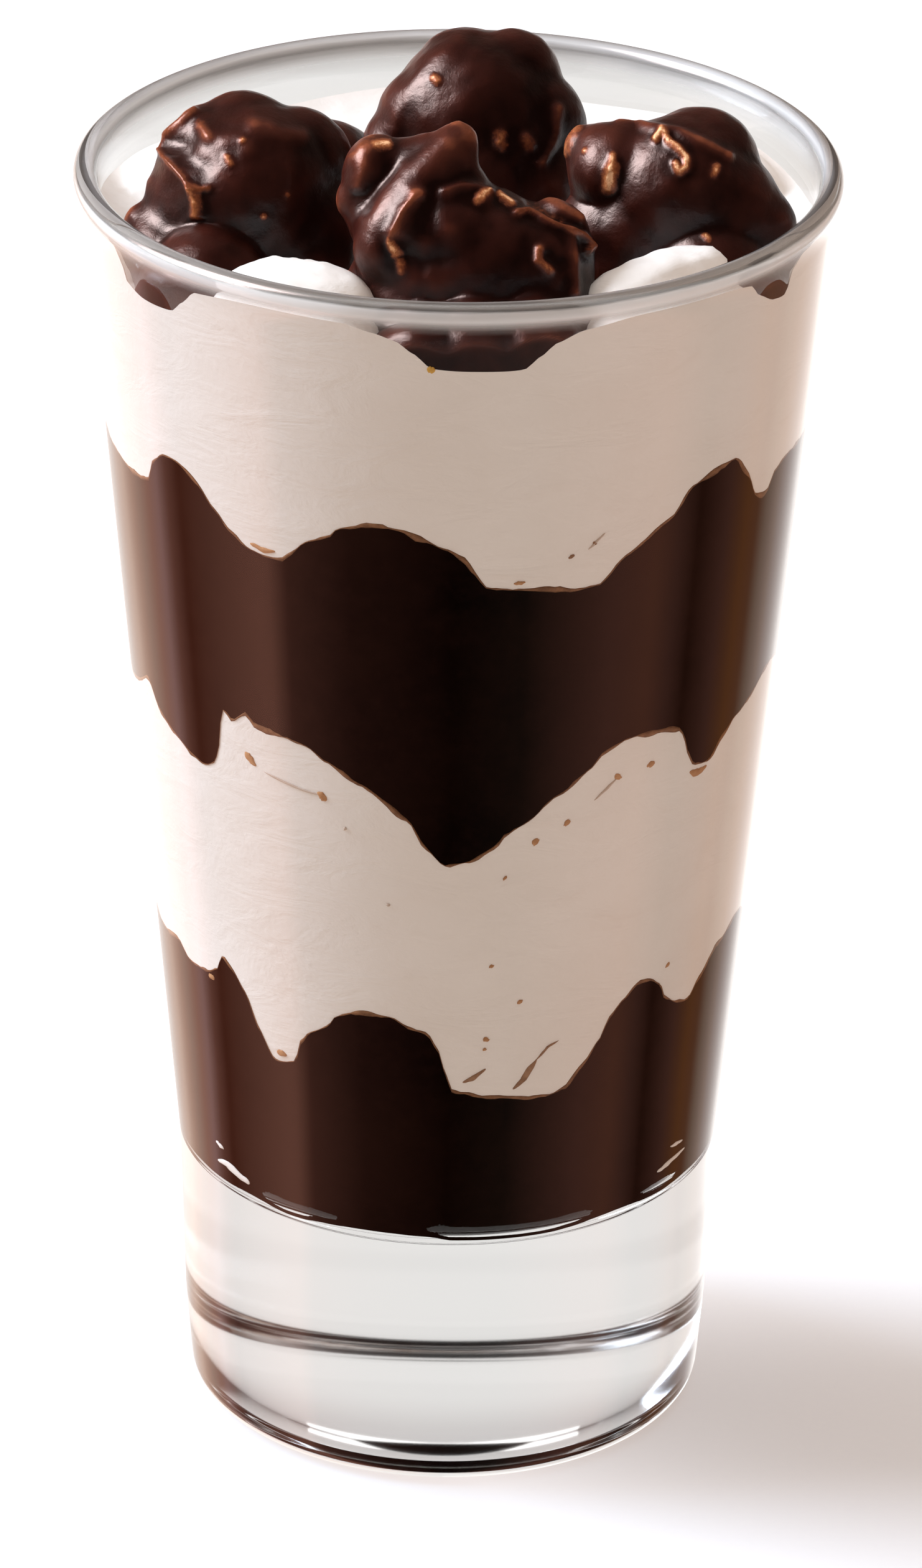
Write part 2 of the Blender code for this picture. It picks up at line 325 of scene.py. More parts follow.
glassPaint = {
    "tint": rgba(0.92, 0.92, 0.915),
    "baseRoughness": 0.06,  # the thick base is less clear than the wall
    "wallFrom": (27.0, 33.0),  # millimetres up, where the base gives way to the wall
    "thickShadow": rgba(0.91, 0.86, 0.82),
    "thinShadow": rgba(0.95, 0.95, 0.95),
    "bounced": rgba(0.95, 0.90, 0.85),
    # The bead is painted: grey and white bands stand in for its reflections, and a dark colour stands in
    # for the dark reflection where it is seen edge on
    "beadReflectionShare": 0.66,
    "beadDarkReflection": rgba(0.04, 0.035, 0.03),
    "beadReflectionBands": (  # painted reflection bands round the bead, from its outside to its inside
        (0.00, (0.45, 0.43, 0.41)),
        (0.12, (0.62, 0.59, 0.56)),
        (0.20, (0.88, 0.85, 0.82)),
        (0.31, (0.80, 0.77, 0.74)),
        (0.345, (0.05, 0.045, 0.04)),
        (0.39, (0.24, 0.21, 0.185)),
        (0.46, (0.10, 0.085, 0.075)),
        (0.53, (0.28, 0.26, 0.25)),
        (0.62, (0.70, 0.68, 0.67)),
        (0.71, (0.10, 0.09, 0.085)),
        (0.80, (0.60, 0.59, 0.58)),
        (1.00, (0.62, 0.61, 0.60)),
    ),
}


def clearGlass(settings):
    paint = Finish("clear_glass")
    height = paint.add("SeparateXYZ", {}, {0: paint.place}, out="Z")
    low, high = settings["wallFrom"]
    isWall = paint.rise(height, low * mm, high * mm)
    rough = settings["baseRoughness"]
    glass = paint.add("BsdfPrincipled", {}, {
        "Base Color": settings["tint"], "Roughness": rough - isWall * rough, "IOR": 1.5,
        "Transmission Weight": 1.0,
    })
    # Painted reflections on the bead: bands by where round the bead a point lies, with a painted dark
    # reflection where the bead is seen edge on, mixed over the clear glass
    turn = paint.add("Attribute", {"attribute_name": "bead"}, out="Fac")
    around = paint.noise(paint.stretched(paint.place, (1.0, 1.0, 14.0)), 60.0, 3.0, 0.6)
    paintedReflections = paint.add("ValToRGB", {"stops": settings["beadReflectionBands"]}, {"Fac": turn + (around - 0.5) * 0.08})
    facing = paint.add("LayerWeight", {}, {"Blend": 0.5}, out="Facing")
    paintedReflections = paint.blend(paint.rise(facing, 0.62, 0.93), paintedReflections, settings["beadDarkReflection"])
    bead = paint.add("BsdfPrincipled", {}, {"Base Color": paintedReflections, "Roughness": 0.12, "IOR": 1.5})
    paintedReflectionMask = paint.add("Attribute", {"attribute_name": "rim"}, out="Fac")
    glass = paint.add("MixShader", {}, {0: paintedReflectionMask * settings["beadReflectionShare"], 1: glass, 2: bead})
    bounced, thick, thinCoatShadeAndSheen = (
        paint.add("BsdfTransparent", {}, {"Color": settings[name]})
        for name in ("bounced", "thickShadow", "thinShadow")
    )
    shadow = paint.add("MixShader", {}, {0: isWall, 1: thick, 2: thinCoatShadeAndSheen})
    isDiffuse = paint.add("LightPath", out="Is Diffuse Ray")
    isShadow = paint.add("LightPath", out="Is Shadow Ray")
    inner = paint.add("MixShader", {}, {0: isDiffuse, 1: glass, 2: bounced})
    return paint.close(paint.add("MixShader", {}, {0: isShadow, 1: inner, 2: shadow}))


creamPaint = {
    "shaded": rgba(0.80, 0.735, 0.675),
    "bright": rgba(0.83, 0.77, 0.715),
    "folds": rgba(0.755, 0.665, 0.595),
    "foldShare": 0.35,
    "roughness": 0.42,
    "gloss": 0.12,
}


def creamFinish(settings):
    paint = Finish("cream")
    cloudy = paint.noise(paint.place, 60.0, 3.0, 0.55)
    flattened = paint.stretched(paint.place, (1.0, 1.0, 2.6), (0.0, 0.5, 0.0))
    folds = paint.noise(flattened, 90.0, 4.0, 0.6, 1.2)
    fine = paint.noise(paint.place, 1400.0, 3.0, 0.6)
    shade = paint.blend(paint.rise(cloudy, 0.3, 0.7), settings["shaded"], settings["bright"])
    shade = paint.blend(paint.rise(folds, 0.55, 0.8) * settings["foldShare"], shade, settings["folds"])
    return paint.close(paint.add("BsdfPrincipled", {}, {
        "Base Color": shade, "Roughness": settings["roughness"], "IOR": 1.4,
        "Specular IOR Level": settings["gloss"],
        "Normal": paint.bump(fine, 0.25, 0.12, paint.bump(folds, 0.4, 0.5)),
    }))


chocolatePaint = {
    "dark": rgba(0.0022, 0.0010, 0.0008),
    "light": rgba(0.007, 0.0028, 0.0020),
    "patches": rgba(0.010, 0.004, 0.0025),
    "patchShare": 0.6,
}


def chocolateFinish(settings):
    paint = Finish("chocolate_filling")
    grain = paint.noise(paint.place, 420.0, 5.0, 0.7)
    drift = paint.noise(paint.place, 45.0, 2.0)
    shade = paint.blend(paint.rise(grain, 0.35, 0.75), settings["dark"], settings["light"])
    shade = paint.blend(paint.rise(drift, 0.35, 0.7) * settings["patchShare"], shade, settings["patches"])
    return paint.close(paint.add("BsdfPrincipled", {}, {
        "Base Color": shade, "Roughness": 0.5, "Specular IOR Level": 0.0,
        "Normal": paint.bump(grain, 0.3, 0.1),
    }))


coatPaint = {
    "roughness": 0.32,
    "gloss": 0.25,
    "coat": (  # from the thickest coat to the thinnest, which also paints shade into the hollows and a highlight onto the crests
        (0.00, (0.0090, 0.0018, 0.0011)),
        (0.35, (0.028, 0.0060, 0.0036)),
        (0.65, (0.060, 0.0140, 0.0075)),
        (1.00, (0.210, 0.0560, 0.0240)),
    ),
    "nut": (  # from just showing to bare, the brightest part also a painted glint
        (0.10, (0.060, 0.0140, 0.0065)),
        (0.50, (0.170, 0.0440, 0.0160)),
        (0.80, (0.420, 0.1450, 0.0520)),
        (1.00, (0.900, 0.5000, 0.2600)),
    ),
}


def coatedNutFinish(settings):
    paint = Finish("coated_nuts")
    bare = paint.add("Attribute", {"attribute_name": "bare"}, out="Fac")
    crest = paint.add("Attribute", {"attribute_name": "crest"}, out="Fac")
    speck = paint.noise(paint.place, 1300.0, 3.0, 0.65)
    drift = paint.noise(paint.place, 160.0, 3.0)
    # A thinner coat on the crests, which also paints a highlight there, and painted shade in the hollows
    thinCoatShadeAndSheen = (crest * 1.1 + (drift - 0.5) * 0.9 + 0.1).clamped()
    coat = paint.add("ValToRGB", {"stops": settings["coat"]}, {"Fac": thinCoatShadeAndSheen})
    # Bare nut colour with bright specks, partly painted glints
    shown = bare + (speck - 0.5) * 1.1 * paint.rise(bare, 0.02, 0.3)
    nut = paint.add("ValToRGB", {"stops": settings["nut"]}, {"Fac": shown})
    grain = paint.bump(speck, 0.5, 0.12)
    return paint.close(paint.add("BsdfPrincipled", {}, {
        "Base Color": paint.blend(paint.rise(shown, 0.08, 0.4), coat, nut),
        "Roughness": settings["roughness"] + (drift - 0.5) * 0.12, "IOR": 1.5,
        "Specular IOR Level": settings["gloss"],
        "Normal": paint.bump(paint.noise(paint.place, 260.0, 3.0), 0.22, 0.3, grain),
    }))


def smearFinish(name, dark, light, rough):
    paint = Finish(name)
    patch = paint.noise(paint.place, 1100.0, 3.0, 0.6)
    return paint.close(paint.add("BsdfPrincipled", {}, {
        "Base Color": paint.blend(patch, dark, light), "Roughness": rough, "Specular IOR Level": 0.2,
    }))


finishes = {
    "glass": clearGlass(glassPaint),
    "cream": creamFinish(creamPaint),
    "chocolate": chocolateFinish(chocolatePaint),
    "nuts": coatedNutFinish(coatPaint),
    "smear": smearFinish("cocoa_smear", rgba(0.32, 0.13, 0.045), rgba(0.58, 0.33, 0.17), 0.5),
    "faint": smearFinish("faint_line", rgba(0.46, 0.34, 0.26), rgba(0.60, 0.49, 0.41), 0.5),
    "streak": smearFinish("dark_streak", rgba(0.15, 0.065, 0.03), rgba(0.42, 0.24, 0.14), 0.5),
    "edge": smearFinish("cocoa_edge", rgba(0.045, 0.014, 0.006), rgba(0.36, 0.17, 0.08), 0.5),
    "amber": smearFinish("amber_drop", rgba(0.42, 0.20, 0.03), rgba(0.75, 0.45, 0.10), 0.2),
}
print("finishes ready")


# Mesh helpers

def makePiece(name, bm, finish, slot, *nodes):
    mesh = bpy.data.meshes.new(name)
    bm.to_mesh(mesh)
    bm.free()
    return addPiece(name, mesh, finish, slot, *nodes)


def addPiece(name, mesh, finish, slot, *nodes):
    mesh.materials.clear()
    mesh.materials.append(finishes[finish])
    mesh.shade_smooth()
    piece = bpy.data.objects.new(name, mesh)
    scene.collection.objects.link(piece)
    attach(piece, "root")
    if nodes:
        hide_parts(*nodes)
    return piece


def turned(bm, outline, steps):  # spins an outline of (radius, height) round the Z axis
    verts = [bm.verts.new((radius, 0.0, height)) for radius, height in outline]
    edges = [bm.edges.new(pair) for pair in zip(verts, verts[1:])]
    bmesh.ops.spin(bm, geom=verts + edges, axis=(0, 0, 1), cent=(0, 0, 0), angle=2 * math.pi,
                   steps=steps, use_merge=True)
    bmesh.ops.remove_doubles(bm, verts=bm.verts, dist=0.00001)
    bmesh.ops.recalc_face_normals(bm, faces=bm.faces)


# Glass, in millimetres

glassSettings = {
    "height": 156.2,
    "rimRadius": 44.0,
    "bead": 1.35,
    "beadFrom": 1.5,  # below the bead's middle, where its painted reflection bands start
    "beadFade": 0.5,
    "neckRadius": 43.1,
    "neckDrop": 3.2,
    "mouthRadius": 41.3,
    "baseTop": 31.5,
    "baseTopRadius": 31.9,
    "footRadius": 30.5,
    "footFlare": ((22.0, 1.15), (12.0, 0.85), (4.5, 0.25)),  # height, how far past the foot
    "floorRadius": 28.9,
    "floorCorner": 3.0,
    "heel": 3.0,
    "recessRadius": 23.0,
    "recessCorner": 1.2,
    "recessHeight": 2.6,
    "innerLevels": (60.0, 90.0, 120.0, 148.0, 152.0),
    "outerLevels": (120.0, 80.0, 50.0, 32.0),
    "steps": 288,
}


def arc(centreRadius, centreHeight, radius, start, end, steps):
    for i in range(steps + 1):
        angle = math.radians(start + (end - start) * i / steps)
        yield centreRadius + radius * math.cos(angle), centreHeight + radius * math.sin(angle)


def innerRadius(height):  # of the glass's inside wall
    s = glassSettings
    slope = (s["mouthRadius"] - s["floorRadius"]) / (s["height"] - s["baseTop"])
    wall = s["floorRadius"] + slope * (height - s["baseTop"])
    corner = s["floorCorner"]
    rise = min(s["baseTop"] + corner - height, corner)
    if rise > 0:
        wall -= corner - math.sqrt(corner**2 - rise**2)
    return wall


def glassOutline(s):  # from the middle of the floor, over the rim, to the middle of the recess
    corner, foot, recess = s["floorCorner"], s["footRadius"], s["recessRadius"]
    cornerTop = s["baseTop"] + corner
    points = [(0.0, s["baseTop"]), (s["floorRadius"] - corner - 2.0, s["baseTop"])]
    heights = [cornerTop - corner * math.cos(math.radians(angle)) for angle in range(0, 91, 9)]
    heights += [cornerTop + 1.5, *s["innerLevels"]]
    points += [(innerRadius(height), height) for height in heights]
    points += arc(s["rimRadius"] - s["bead"], s["height"] - s["bead"], s["bead"], 180, -25, 20)
    neckHeight = s["height"] - s["neckDrop"]
    slope = (s["neckRadius"] - s["baseTopRadius"]) / (neckHeight - s["baseTop"])
    for height in (neckHeight, neckHeight - 2.0, *s["outerLevels"]):
        points.append((s["neckRadius"] - slope * (neckHeight - height), height))
    points += [(foot + flare, height) for height, flare in s["footFlare"]]
    points += arc(foot + 0.1 - s["heel"], s["heel"], s["heel"], -3, -90, 12)
    points += arc(recess + s["recessCorner"], s["recessCorner"], s["recessCorner"], -90, -150, 4)
    for share in (0.93, 0.8, 0.65, 0.5, 0.3, 0.0):
        points.append((recess * share, s["recessHeight"] * (1 - share**2) ** 0.7))
    return points


def makeGlass(s):
    bm = bmesh.new()
    turned(bm, [(radius * mm, height * mm) for radius, height in glassOutline(s)], s["steps"])
    # How far down the rim the painted reflection bands reach
    rim = bm.verts.layers.float.new("rim")
    bead = bm.verts.layers.float.new("bead")  # where round the bead each point lies, for the painted reflection bands: 0 outside and low, 1 inside and low
    for vert in bm.verts:
        out = math.hypot(vert.co.x, vert.co.y) / mm - (s["rimRadius"] - s["bead"])
        up = vert.co.z / mm - (s["height"] - s["bead"])
        vert[rim] = min(max((up + s["beadFrom"]) / s["beadFade"], 0.0), 1.0)
        vert[bead] = (math.degrees(math.atan2(up, out)) + 90.0) % 360.0 / 360.0
    return makePiece("glass_body", bm, "glass", "clear_glass", "glass")


makeGlass(glassSettings)
print("glass made")


# Filling: four layers that meet along wavy lines, given as (degrees round from the front, millimetres)

lowerChocolateTop = (
    (-172, 61), (-150, 65), (-125, 58), (-100, 64), (-79, 62.5), (-69, 63.2), (-62.5, 61.6), (-57, 61.9),
    (-53, 63.2), (-51.5, 65.2), (-48.5, 64.2), (-45, 61.8), (-42, 57.7), (-38, 54.3), (-33, 54.6),
    (-31.5, 57.4), (-29, 59.3), (-25, 60.6), (-23, 62.2), (-18, 63.2), (-12, 63.2), (-7.3, 61.9),
    (-4.3, 61.3), (-2, 59.1), (-0.6, 56.3), (1, 53.7), (10, 52.7), (21, 52), (25, 52.8), (28.5, 55.3),
    (32.5, 58.5), (34, 60.8), (37.5, 62.9), (41, 64.5), (44, 64.4), (47, 63.2), (49, 60.9), (53, 59.5),
    (57, 59.2), (60, 61), (67, 63.8), (78, 65.2), (100, 60), (125, 66), (150, 56),
)
upperChocolateBottom = (
    (-175, 96), (-150, 99), (-125, 92), (-100, 97), (-84, 94), (-77, 94.8), (-70.5, 96.8), (-66, 93.9),
    (-60, 92.1), (-55, 91), (-51, 90.6), (-48.6, 91.4), (-47, 93.4), (-46.3, 96.3), (-45, 98.9),
    (-43, 98), (-39.5, 99.7), (-37.5, 98.5), (-31, 98.1), (-26.5, 97.5), (-23, 96.1), (-17, 93.9),
    (-8, 89.9), (-4.6, 86.3), (-1, 84.1), (3, 84.4), (8.4, 86.3), (10, 87.7), (13, 89), (20, 92.7),
    (25.7, 95.2), (28.5, 97.1), (34, 98.3), (39, 98.1), (45, 97.3), (46.5, 96), (47.4, 94.2), (50, 91.8),
    (54.8, 91.3), (58, 93.4), (62.5, 95.2), (78, 98), (100, 93), (125, 98), (150, 90),
)
upperChocolateTop = (
    (-178, 125), (-155, 128), (-130, 122), (-100, 126), (-75, 124.5), (-69, 124), (-61.5, 124.5),
    (-59, 127.4), (-55.6, 129.2), (-51.8, 129.2), (-47.7, 128), (-43, 125), (-40, 122.9), (-36.5, 121.6),
    (-30, 121.3), (-28, 122.4), (-25.5, 124), (-21, 125.3), (-19.3, 126.6), (-13, 127.7), (-9, 127.3),
    (-5.4, 126.3), (-1.5, 125.1), (2, 123.7), (3.4, 122), (5.5, 120.2), (14, 119.7), (24.6, 119.2),
    (30, 122.5), (38, 125.8), (42.5, 128.9), (52, 130.4), (56, 127.6), (60, 124), (63.6, 123.5),
    (66, 125.4), (71, 126.1), (84, 125.8), (105, 122), (130, 127), (155, 121),
)
creamLine = (
    (-175, 150), (-140, 149), (-110, 150.5), (-82, 152.4), (-66, 153), (-63.5, 151.2), (-62, 149.1),
    (-57, 148.2), (-50, 148.5), (-47, 150.2), (-44, 152.2), (-32, 153), (-18, 152.8), (-13, 151.9),
    (-9.6, 151.1), (-6.7, 149.6), (-3.6, 147.8), (3.5, 147.5), (10.4, 147.6), (13, 149.1), (15.5, 150.6),
    (20, 152), (30, 153), (44, 153), (51, 152.4), (53.7, 150.4), (58, 148.9), (61.7, 148.8),
    (63, 151.4), (67, 153), (80, 152.4), (100, 149.5), (130, 150.2), (160, 149),
)
fillingSettings = {
    "steps": 400,
    "intoWall": 0.15,
    "ripple": 0.2,  # unevenness of the lines
    "creamCentre": 148.0,
    "creamWaves": 0.8,
    "creamRise": 8,  # how late the cream climbs to its line on the wall
    # at the wall: degrees round, half width, depth
    "hollows": ((4.0, 15.0, 1.5), (-54.0, 12.0, 1.5), (57.0, 9.0, 1.5)),
    # spoonfuls: degrees round, distance out, half length round, half depth, top height
    "dollops": (
        (-30.0, 34.0, 10.0, 6.0, 155.5),
        (43.0, 34.5, 12.8, 6.5, 155.4),
        (-112.0, 33.0, 10.0, 8.0, 152.6),
        (118.0, 33.5, 10.0, 8.0, 152.2),
    ),
}


def heightRound(pairs, angle):  # a smooth closed curve through the pairs
    count = len(pairs)
    after = next((i for i, pair in enumerate(pairs) if pair[0] > angle), count)
    picked = []
    for i in range(after - 2, after + 2):
        turn, place = divmod(i, count)
        picked.append((pairs[place][0] + 360.0 * turn, pairs[place][1]))
    (a0, z0), (a1, z1), (a2, z2), (a3, z3) = picked
    span = a2 - a1
    t = (angle - a1) / span
    slope1 = 0.5 * span * (z2 - z0) / (a2 - a0)
    slope2 = 0.5 * span * (z3 - z1) / (a3 - a1)
    return (z1 * (2 * t**3 - 3 * t**2 + 1) + slope1 * (t**3 - 2 * t**2 + t)
            + z2 * (3 * t**2 - 2 * t**3) + slope2 * (t**3 - t**2))


def boundary(pairs, seed):
    centre = sum(height for _, height in pairs) / len(pairs)

    def height(angle, share):
        turn = math.radians(angle)
        place = Vector((math.cos(turn), math.sin(turn), 0.0))
        rough = noise.fractal(place * 9.0 + Vector((0, 0, seed)), 0.6, 2.2, 4) * fillingSettings["ripple"]
        return centre + (heightRound(pairs, angle) + rough - centre) * share**2

    return height


def flatFloor(angle, share):
    return glassSettings["baseTop"] - fillingSettings["intoWall"]


def creamTop(angle, share):
    s = fillingSettings
    turn = math.radians(angle)
    radius = share * innerRadius(s["creamCentre"])
    x, y = radius * math.sin(turn), -radius * math.cos(turn)
    soft = noise.fractal(Vector((x, y, 3.0)) * 0.16, 0.7, 2.1, 3)
    line = heightRound(creamLine, angle)
    height = s["creamCentre"] + (line - s["creamCentre"]) * share ** s["creamRise"]
    height += soft * s["creamWaves"] * (1.0 - share**4)
    for around, half, depth in s["hollows"]:
        part = 1.0 - min(abs(angle - around) / half, 1.0)
        height -= depth * part * part * (3.0 - 2.0 * part) * min(1.0, (1.0 - share) * 12.0)
    for around, out, half, deep, top in s["dollops"]:
        along = math.radians(angle - around) * out
        spread = abs(along / half) ** 2.3 + abs((radius - out) / deep) ** 2.0
        spread *= 1.0 + 0.22 * noise.noise(Vector((x, y, 9.0)) * 0.2)
        if spread < 1.0:
            lift = max(top + soft * 0.5 - height, 0.0) * (1.0 - spread**1.5) ** 0.7
            height += lift * min(1.0, (1.0 - share) * 13.0)
    return height


def makeLayer(name, bottom, top, finish, slot, node, capRings=(0.5, 0.9, 1.0), sideLevels=6):
    # A ringed unit drum is spun, and then each point takes its height from the two faces
    bm = bmesh.new()
    lowRings = (0.5, 0.9)
    outline = [(0.0, sideLevels)] + [(share, sideLevels) for share in capRings]
    outline += [(1.0, level) for level in range(sideLevels - 1, -1, -1)]
    outline += [(share, 0) for share in reversed(lowRings)] + [(0.0, 0)]
    turned(bm, outline, fillingSettings["steps"])
    for edge in bm.edges:
        one, two = (vert.co for vert in edge.verts)
        isBrim = min(one.xy.length, two.xy.length) > 0.999 and abs(one.z - two.z) < 0.1
        edge.smooth = not (isBrim and one.z % sideLevels < 0.1)
    for vert in bm.verts:
        x, y, level = vert.co
        share = math.hypot(x, y)
        angle = math.degrees(math.atan2(x, -y)) if share > 0.001 else 0.0
        low, high = bottom(angle, share), top(angle, share)
        part = level / sideLevels
        height = low + (high - low) * part**1.5
        wall = innerRadius(height) + fillingSettings["intoWall"]
        vert.co = (x * wall * mm, y * wall * mm, height * mm)
    return makePiece(name, bm, finish, slot, node)


def makeFilling():
    first = boundary(lowerChocolateTop, 1.0)
    second = boundary(upperChocolateBottom, 2.0)
    third = boundary(upperChocolateTop, 3.0)
    rings = tuple(0.025 * i for i in range(1, 41))
    makeLayer("lower_chocolate", flatFloor, first, "chocolate", "chocolate", "chocolate_layer_lower")
    makeLayer("lower_cream", first, second, "cream", "cream", "cream_layer_lower")
    makeLayer("upper_chocolate", second, third, "chocolate", "chocolate", "chocolate_layer_upper")
    makeLayer("upper_cream", third, creamTop, "cream", "cream", "cream_layer_upper", rings)


makeFilling()
print("filling made")


# Crumbs, smears and stray lines where the food lies against the wall, as (degrees round, millimetres up)

markSettings = {
    "proud": 0.22,
    "wobble": 0.55,
}
edgeSettings = {
    "width": 0.42,  # widest, of the cocoa line along each change of layer
    "least": 0.1,
    "proud": 0.13,
    "lengths": 14.0,  # how often it comes and goes
}
marks = {
    "faint_lines": ("faint", (
        (((-36.2, 92.8), (-31.0, 92.1), (-27.0, 91.7), (-24.4, 91.6)), 0.15),
        (((31.4, 93.3), (27.0, 91.0)), 0.15),
        (((22.6, 124.0), (25.5, 125.8)), 0.14),
        (((-20.0, 87.9), (-19.5, 87.6)), 0.25),
        (((-12.0, 78.5), (-11.4, 78.2)), 0.22),
    )),
    "dark_streaks": ("streak", (
        (((13.6, 53.5), (15.9, 54.9), (18.4, 57.3)), 0.36),
        (((3.1, 54.8), (5.4, 55.4), (7.8, 56.6)), 0.3),
        (((18.0, 57.0), (20.5, 58.7), (22.9, 59.4)), 0.14),
        (((19.2, 123.2), (20.2, 123.6)), 0.22),
        (((23.4, 124.9), (24.0, 124.5)), 0.22),
        (((-120.0, 88.0), (-117.0, 89.5)), 0.5),
        (((150.0, 84.0), (154.0, 86.0)), 0.4),
        (((95.0, 88.0), (98.0, 87.0)), 0.3),
    )),
    "cocoa_smears": ("smear", (
        (((-40.3, 94.6), (-39.3, 94.0), (-37.9, 93.2)), 0.45),
        (((-25.0, 91.9), (-24.1, 91.5), (-23.2, 91.0)), 0.42),
        (((38.5, 94.3), (39.2, 93.6)), 0.55),
        (((31.9, 93.8), (31.2, 93.2)), 0.5),
        (((21.4, 88.9), (22.3, 88.5)), 0.5),
        (((15.3, 86.9), (16.3, 86.4)), 0.5),
        (((10.1, 82.3), (10.6, 82.1)), 0.3),
        (((48.5, 65.6), (49.1, 65.2)), 0.4),
        (((8.0, 70.6), (8.6, 70.3)), 0.3),
        (((14.0, 65.6), (14.6, 65.2)), 0.35),
        (((7.3, 60.9), (8.1, 60.3)), 0.32),
        (((7.2, 59.4), (7.7, 59.1)), 0.22),
        (((49.0, 90.9), (51.5, 90.3), (54.0, 90.6)), 0.45),
        (((-56.5, 61.4), (-54.5, 61.6)), 0.35),
        (((-37.5, 55.3), (-35.0, 55.2)), 0.4),
        (((-36.0, 122.3), (-33.5, 121.9), (-31.0, 122.1)), 0.3),
        (((10.0, 120.6), (12.0, 120.7)), 0.22),
        (((170.0, 62.0), (174.0, 62.8)), 0.5),
        (((-95.0, 66.5), (-92.0, 67.5)), 0.35),
    )),
    "cream_smears": ("cream", (
        (((-60.0, 35.6), (-56.0, 35.9), (-51.0, 35.3), (-48.5, 35.0)), 0.5),
        (((-60.0, 38.2), (-57.0, 37.8)), 0.3),
        (((53.0, 36.3), (57.0, 36.7), (63.5, 37.2)), 0.35),
        (((57.0, 38.9), (62.0, 38.6)), 0.25),
        (((120.0, 36.0), (132.0, 36.8)), 0.8),
        (((-140.0, 37.0), (-131.0, 36.0)), 0.7),
    )),
    "amber_drops": ("amber", (
        (((-4.5, 147.75), (-3.2, 147.65)), 0.42),
    )),
}


def makeMark(bm, path, half):  # a flat drop stretched along a path on the wall
    s = markSettings
    made = bmesh.ops.create_icosphere(bm, subdivisions=4, radius=1.0)
    count = len(path) - 1
    for vert in made["verts"]:
        along, across, out = vert.co
        run = min(max((along * 0.5 + 0.5) * count, 0.0), count - 0.0001)
        step = int(run)
        (angle0, height0), (angle1, height1) = path[step], path[step + 1]
        share = run - step
        angle, height = angle0 + (angle1 - angle0) * share, height0 + (height1 - height0) * share
        arcLength = math.radians(angle1 - angle0) * innerRadius(height)
        length = math.hypot(arcLength, height1 - height0)
        wobble = noise.noise(Vector((angle0, along * 2.2 + half, across * 0.7)))
        shift = across * half * (1.0 + s["wobble"] * wobble)
        height += shift * arcLength / length
        angle -= math.degrees(shift * (height1 - height0) / length / innerRadius(height))
        wall = (innerRadius(height) + fillingSettings["intoWall"] + out * s["proud"]) * mm
        turn = math.radians(angle)
        vert.co = (wall * math.sin(turn), -wall * math.cos(turn), height * mm)


def makeCocoaEdge(name, pairs, seed):  # a line of cocoa that comes and goes where two layers meet
    s = edgeSettings
    meet = boundary(pairs, seed)
    bm = bmesh.new()
    turned(bm, [(1.0, -1.0), (1.3, 0.0), (1.0, 1.0), (0.7, 0.0), (1.0, -1.0)], fillingSettings["steps"])
    for vert in bm.verts:
        x, y, side = vert.co
        turn = math.atan2(x, -y)
        place = Vector((math.cos(turn), math.sin(turn), seed)) * s["lengths"]
        amount = 0.18 + max(noise.noise(place) + 0.25, 0.0) + 0.3 * noise.noise(place * 3.1)
        height = meet(math.degrees(turn), 1.0) + side * max(amount, s["least"]) * s["width"]
        out = (math.hypot(x, y) - 1.0) / 0.3 * s["proud"]
        wall = innerRadius(height) + fillingSettings["intoWall"] + out
        vert.co = (wall * math.sin(turn) * mm, -wall * math.cos(turn) * mm, height * mm)
    bmesh.ops.recalc_face_normals(bm, faces=bm.faces)
    makePiece(name, bm, "edge", "chocolate")


for name, (finish, paths) in marks.items():
    bm = bmesh.new()
    for path, half in paths:
        makeMark(bm, path, half)
    bmesh.ops.recalc_face_normals(bm, faces=bm.faces)
    makePiece(name, bm, finish, "cream" if finish == "cream" else "chocolate")
makeCocoaEdge("cocoa_edge_low", lowerChocolateTop, 1.0)
makeCocoaEdge("cocoa_edge_middle", upperChocolateBottom, 2.0)
makeCocoaEdge("cocoa_edge_high", upperChocolateTop, 3.0)
print("marks made")


# Nut clusters: lumps run together under a smooth coat, with ridges drawn on it. Lumps are (right, up,
# near, radius) in millimetres as they look from the front, from the cluster's centre

